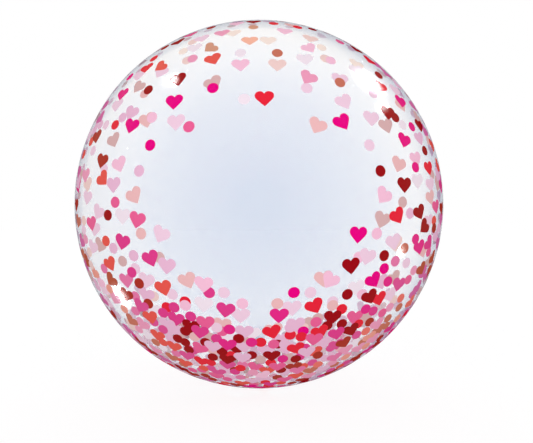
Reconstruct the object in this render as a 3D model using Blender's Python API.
"""A round balloon of clear film, blown up, knotted and lying on its underside.

The film is one piece: the ball, the puckered neck, the knot and the flat tail. The balloon is sealed, so
it is modelled as one solid. Metres, +Z up. The origin is under the ball's centre, on the small flat spot
that the ball rests on. The neck points down and back, and the tail turns along the ground behind the ball.
"""

import math

import bmesh
import bpy
from mathutils import Matrix, Vector

# The ball
BALL_RADIUS = 0.305  # a balloon sold as 61 cm across
REST_SPOT = 0.080  # the flat spot under the ball, across
BALL_SEGMENTS = 72  # round the ball
BALL_RINGS = 36  # from the flat spot to the top

# The neck, which starts as a pucker in the ball's film
NECK_ANGLE = math.radians(37)  # from straight down, towards the back
PUCKER_RADIUS = 0.046  # where the pucker leaves the ball
NECK_RADIUS = 0.0075  # at the knot
NECK_LENGTH = 0.026  # from the ball's surface to the knot
PUCKER_CURVE = 3.2  # how fast the pucker narrows
PLEATS = 8  # folds gathered into the neck
PLEAT_DEPTH = 0.17  # a fold's depth as a share of the neck's radius there

# The knot
KNOT_LENGTH = 0.017  # along the neck
KNOT_SWELL = 0.0050  # how far the knotted film stands out beyond the neck
LOOP_RADIUS = 0.0105  # the turn of film round the knot, to the middle of the film
LOOP_THICKNESS = 0.0085  # the turn of film, across
LOOP_TILT = math.radians(24)  # the turn lies askew

# The tail
TAIL_LENGTH = 0.070  # from the knot to the end
TAIL_WIDTH = 0.046  # at the end
TAIL_THICKNESS = 0.0026  # at the end
TAIL_WAVES = 2.5  # waves across the tail
TAIL_WAVE_HEIGHT = 0.0020  # at the end, either way
GROUND_CLEARANCE = 0.0010  # under the tail

# How finely the neck and tail are drawn
NECK_STEPS = 11
KNOT_STEPS = 7
TAIL_STEPS = 14
SECTION_POINTS = 48
LOOP_POINTS = (22, 10)  # round the turn, and round its film

# Worked out from the sizes above
REST_ANGLE = math.asin(REST_SPOT / 2 / BALL_RADIUS)  # from straight down to the flat spot's edge
BALL_CENTRE = Vector((0, 0, BALL_RADIUS * math.cos(REST_ANGLE)))
OUTWARD = Vector((0, math.sin(NECK_ANGLE), -math.cos(NECK_ANGLE)))  # the way the neck points
NECK_ROOT = BALL_CENTRE + BALL_RADIUS * OUTWARD
PUCKER_DROP = BALL_RADIUS - math.sqrt(BALL_RADIUS**2 - PUCKER_RADIUS**2)
STRAIGHT = NECK_LENGTH + KNOT_LENGTH  # the neck and knot, before the tail starts to bend


def smooth(share):
    """0 to 1, with no corner at either end."""
    share = min(max(share, 0.0), 1.0)
    return share * share * (3 - 2 * share)


def between(a, b, share):
    return a + (b - a) * share


def film_material():
    material = bpy.data.materials.new("clear film")
    material.use_nodes = True
    shader = material.node_tree.nodes["Principled BSDF"]
    shader.inputs["Base Color"].default_value = (0.80, 0.84, 0.92, 1)
    shader.inputs["Roughness"].default_value = 0.06
    shader.inputs["Metallic"].default_value = 0.0
    shader.inputs["Alpha"].default_value = 0.35
    return material


def mesh_object(name, bm):
    mesh = bpy.data.meshes.new(name)
    bmesh.ops.recalc_face_normals(bm, faces=bm.faces)
    bm.to_mesh(mesh)
    bm.free()
    obj = bpy.data.objects.new(name, mesh)
    bpy.context.collection.objects.link(obj)
    return obj


def make_ball():
    """The profile from the flat spot's middle to the top, spun once round."""
    bm = bmesh.new()
    profile = [bm.verts.new((0, 0, 0))]
    for ring in range(BALL_RINGS + 1):
        angle = between(REST_ANGLE, math.pi, ring / BALL_RINGS)
        x = BALL_RADIUS * math.sin(angle) if ring < BALL_RINGS else 0.0
        z = BALL_CENTRE.z - BALL_RADIUS * math.cos(angle)
        profile.append(bm.verts.new((x, 0, z)))
    edges = [bm.edges.new(pair) for pair in zip(profile, profile[1:])]
    bmesh.ops.spin(
        bm,
        geom=profile + edges,
        cent=(0, 0, 0),
        axis=(0, 0, 1),
        angle=2 * math.pi,
        steps=BALL_SEGMENTS,
        use_merge=True,
    )
    bmesh.ops.remove_doubles(bm, verts=bm.verts, dist=1e-6)
    return mesh_object("balloon", bm)


def tail_floor():
    """How high the tail's middle runs once it lies along the ground."""
    return GROUND_CLEARANCE + TAIL_WAVE_HEIGHT + TAIL_THICKNESS / 2


def bend_radius():
    """The bend that brings the tail down to the ground just as it turns level."""
    start = NECK_ROOT + STRAIGHT * OUTWARD
    drop = max(start.z - tail_floor(), TAIL_THICKNESS)
    return drop / (1 - math.sin(NECK_ANGLE))


def along_neck(s):
    """The middle line's point and direction, s metres beyond the ball's surface."""
    if s <= STRAIGHT:
        return NECK_ROOT + s * OUTWARD, OUTWARD
    start = NECK_ROOT + STRAIGHT * OUTWARD
    radius = bend_radius()
    full_turn = math.pi / 2 - NECK_ANGLE
    turn = min((s - STRAIGHT) / radius, full_turn)
    up = Vector((0, math.cos(NECK_ANGLE), math.sin(NECK_ANGLE)))
    point = start + radius * (math.sin(turn) * OUTWARD + (1 - math.cos(turn)) * up)
    direction = math.cos(turn) * OUTWARD + math.sin(turn) * up
    return point + (s - STRAIGHT - turn * radius) * direction, direction


def neck_sections():
    """Rows of (s, half width, half thickness, pleat depth, wave height) from inside the ball to the end."""
    rows = []
    root = -PUCKER_DROP - PUCKER_RADIUS / 4
    rows.append((root, PUCKER_RADIUS * 0.9, PUCKER_RADIUS * 0.9, 0, 0))
    for i in range(NECK_STEPS + 1):
        share = i / NECK_STEPS
        s = between(-PUCKER_DROP, NECK_LENGTH, share)
        radius = between(NECK_RADIUS, PUCKER_RADIUS, (1 - share) ** PUCKER_CURVE)
        rows.append((s, radius, radius, PLEAT_DEPTH * smooth(share * 1.4), 0))
    for i in range(1, KNOT_STEPS + 1):
        share = i / KNOT_STEPS
        radius = NECK_RADIUS + KNOT_SWELL * math.sin(math.pi * share) ** 0.8
        rows.append((NECK_LENGTH + KNOT_LENGTH * share, radius, radius, PLEAT_DEPTH * (1 - share), 0))
    for i in range(1, TAIL_STEPS + 1):
        share = i / TAIL_STEPS
        width = between(NECK_RADIUS, TAIL_WIDTH / 2, math.sin(math.pi / 2 * share))
        thickness = between(NECK_RADIUS, TAIL_THICKNESS / 2, smooth(share * 1.8))
        rows.append((STRAIGHT + TAIL_LENGTH * share, width, thickness, 0, TAIL_WAVE_HEIGHT * smooth(share)))
    return rows


def make_neck():
    """Rings of points along the middle line, bridged and closed at both ends."""
    bm = bmesh.new()
    across = Vector((1, 0, 0))
    rings = []
    for s, half_width, half_thickness, pleat, wave in neck_sections():
        middle, direction = along_neck(s)
        upward = across.cross(direction)
        ring = []
        for i in range(SECTION_POINTS):
            angle = 2 * math.pi * i / SECTION_POINTS
            fold = 1 + pleat * math.cos(PLEATS * angle)
            x = half_width * fold * math.cos(angle)
            swing = wave * math.cos(2 * math.pi * TAIL_WAVES * x / TAIL_WIDTH)
            z = half_thickness * fold * math.sin(angle) + swing
            ring.append(bm.verts.new(middle + x * across + z * upward))
        rings.append(ring)
    for low, high in zip(rings, rings[1:]):
        for i in range(SECTION_POINTS):
            j = (i + 1) % SECTION_POINTS
            bm.faces.new((low[i], low[j], high[j], high[i]))
    bm.faces.new(rings[0])
    bm.faces.new(rings[-1])
    return mesh_object("neck_form", bm)


def make_loop():
    """The turn of film that lies askew round the knot."""
    middle, direction = along_neck(NECK_LENGTH + KNOT_LENGTH / 2)
    points_round, points_across = LOOP_POINTS
    bm = bmesh.new()
    rings = []
    for i in range(points_round):
        turn = 2 * math.pi * i / points_round
        out = Vector((math.cos(turn), math.sin(turn), 0))
        ring = []
        for j in range(points_across):
            angle = 2 * math.pi * j / points_across
            reach = LOOP_RADIUS + LOOP_THICKNESS / 2 * math.cos(angle)
            ring.append(bm.verts.new(reach * out + Vector((0, 0, LOOP_THICKNESS / 2 * math.sin(angle)))))
        rings.append(ring)
    for i in range(points_round):
        near, far = rings[i], rings[(i + 1) % points_round]
        for j in range(points_across):
            k = (j + 1) % points_across
            bm.faces.new((near[j], far[j], far[k], near[k]))
    lie = direction.to_track_quat("Z", "Y").to_matrix().to_4x4()
    bm.transform(Matrix.Translation(middle) @ lie @ Matrix.Rotation(LOOP_TILT, 4, "Y"))
    return mesh_object("knot_form", bm)


def join(body, tool):
    """One solid of both, with the tool kept as a guide."""
    tool.hide_render = True
    tool.display_type = "WIRE"
    union = body.modifiers.new(f"join {tool.name}", "BOOLEAN")
    union.operation = "UNION"
    union.object = tool


def main():
    for obj in list(bpy.data.objects):
        bpy.data.objects.remove(obj)
    ball = make_ball()
    ball.data.materials.append(film_material())
    ball.data.shade_smooth()
    ball.data.set_sharp_from_angle(angle=math.radians(30))
    join(ball, make_neck())
    join(ball, make_loop())


main()
